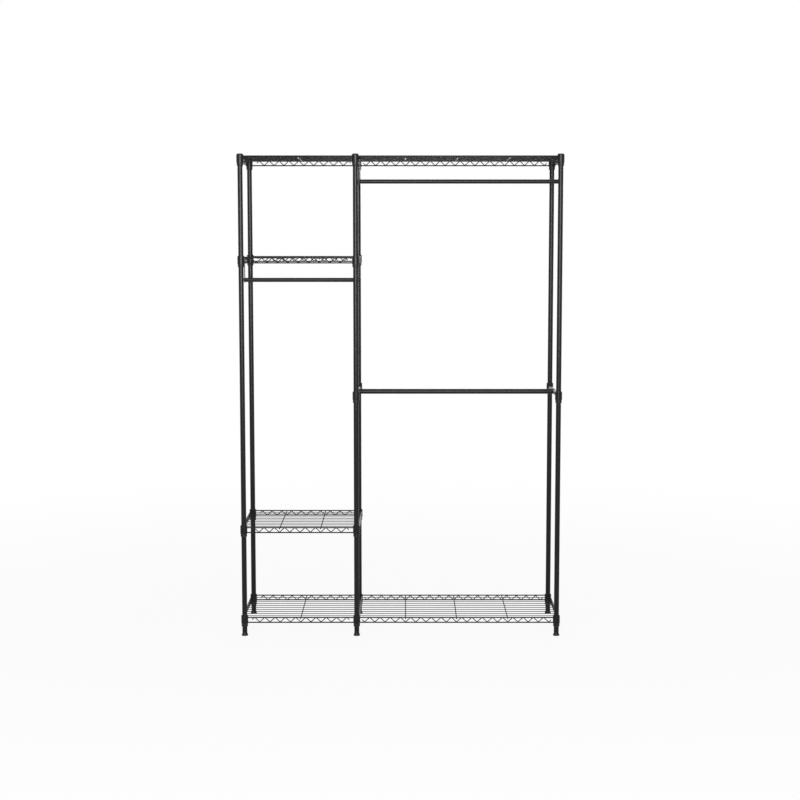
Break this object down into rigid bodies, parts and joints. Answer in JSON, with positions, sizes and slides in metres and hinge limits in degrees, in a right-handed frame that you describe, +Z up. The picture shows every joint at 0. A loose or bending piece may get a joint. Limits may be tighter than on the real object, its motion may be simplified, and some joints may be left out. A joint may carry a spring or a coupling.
{
  "type": "open frame wardrobe",
  "caption": "Open frame wardrobe of black steel tube posts and wire shelves, with a narrow shelved bay beside a wide bay with clothes rods, standing on levelling feet.",
  "frame": {"origin": "on the floor, under the middle of the frame", "axes": "+X from the narrow bay to the wide bay (right as pictured), +Y to the back, +Z up"},
  "size_m": [1.2019, 0.3504, 1.8],
  "materials": {
    "black_steel": "satin black coating over steel tube and wire",
    "black_plastic": "moulded black plastic, fine grain",
    "plated_steel": "zinc-plated steel"
  },
  "bodies": {
    "frame": {"bottom_shelf_collars": "black_steel", "bottom_shelf_deck": "black_steel", "bottom_shelf_end_trusses": "black_steel", "bottom_shelf_long_trusses": "black_steel", "bottom_sleeves": "black_plastic", "foot_bushes": "plated_steel", "hung_rod_bolts": "black_steel", "hung_rod_plugs": "black_plastic", "left_rod": "black_steel", "middle_rod": "black_steel", "middle_rod_bolts": "black_steel", "middle_rod_saddles": "black_plastic", "post_caps": "black_plastic", "post_front_left_lower": "black_steel", "post_front_left_upper": "black_steel", "post_front_mid_lower": "black_steel", "post_front_mid_upper": "black_steel", "post_front_right_lower": "black_steel", "post_front_right_upper": "black_steel", "post_joint_plugs": "plated_steel", "post_rear_left_lower": "black_steel", "post_rear_left_upper": "black_steel", "post_rear_mid_lower": "black_steel", "post_rear_mid_upper": "black_steel", "post_rear_right_lower": "black_steel", "post_rear_right_upper": "black_steel", "rail_mid": "black_steel", "rail_right": "black_steel", "rail_sleeves": "black_plastic", "right_rod": "black_steel", "rod_hangers": "black_steel", "second_shelf_collars": "black_steel", "second_shelf_deck": "black_steel", "second_shelf_end_trusses": "black_steel", "second_shelf_long_trusses": "black_steel", "second_sleeves": "black_plastic", "third_shelf_collars": "black_steel", "third_shelf_deck": "black_steel", "third_shelf_end_trusses": "black_steel", "third_shelf_long_trusses": "black_steel", "third_sleeves": "black_plastic", "top_shelf_collars": "black_steel", "top_shelf_deck": "black_steel", "top_shelf_end_trusses": "black_steel", "top_shelf_long_trusses": "black_steel", "top_sleeves": "black_plastic"},
    "foot_front_left": {"foot_pad_front_left": "black_plastic", "foot_stud_front_left": "plated_steel"},
    "foot_front_mid": {"foot_pad_front_mid": "black_plastic", "foot_stud_front_mid": "plated_steel"},
    "foot_front_right": {"foot_pad_front_right": "black_plastic", "foot_stud_front_right": "plated_steel"},
    "foot_rear_left": {"foot_pad_rear_left": "black_plastic", "foot_stud_rear_left": "plated_steel"},
    "foot_rear_mid": {"foot_pad_rear_mid": "black_plastic", "foot_stud_rear_mid": "plated_steel"},
    "foot_rear_right": {"foot_pad_rear_right": "black_plastic", "foot_stud_rear_right": "plated_steel"}
  },
  "joints": [
    {"name": "foot_front_left_level", "type": "slide", "parent": "frame", "child": "foot_front_left", "axis": [0, 0, -1], "range_m": [0, 0.01]},
    {"name": "foot_front_mid_level", "type": "slide", "parent": "frame", "child": "foot_front_mid", "axis": [0, 0, -1], "range_m": [0, 0.01]},
    {"name": "foot_front_right_level", "type": "slide", "parent": "frame", "child": "foot_front_right", "axis": [0, 0, -1], "range_m": [0, 0.01]},
    {"name": "foot_rear_left_level", "type": "slide", "parent": "frame", "child": "foot_rear_left", "axis": [0, 0, -1], "range_m": [0, 0.01]},
    {"name": "foot_rear_mid_level", "type": "slide", "parent": "frame", "child": "foot_rear_mid", "axis": [0, 0, -1], "range_m": [0, 0.01]},
    {"name": "foot_rear_right_level", "type": "slide", "parent": "frame", "child": "foot_rear_right", "axis": [0, 0, -1], "range_m": [0, 0.01]}
  ]
}
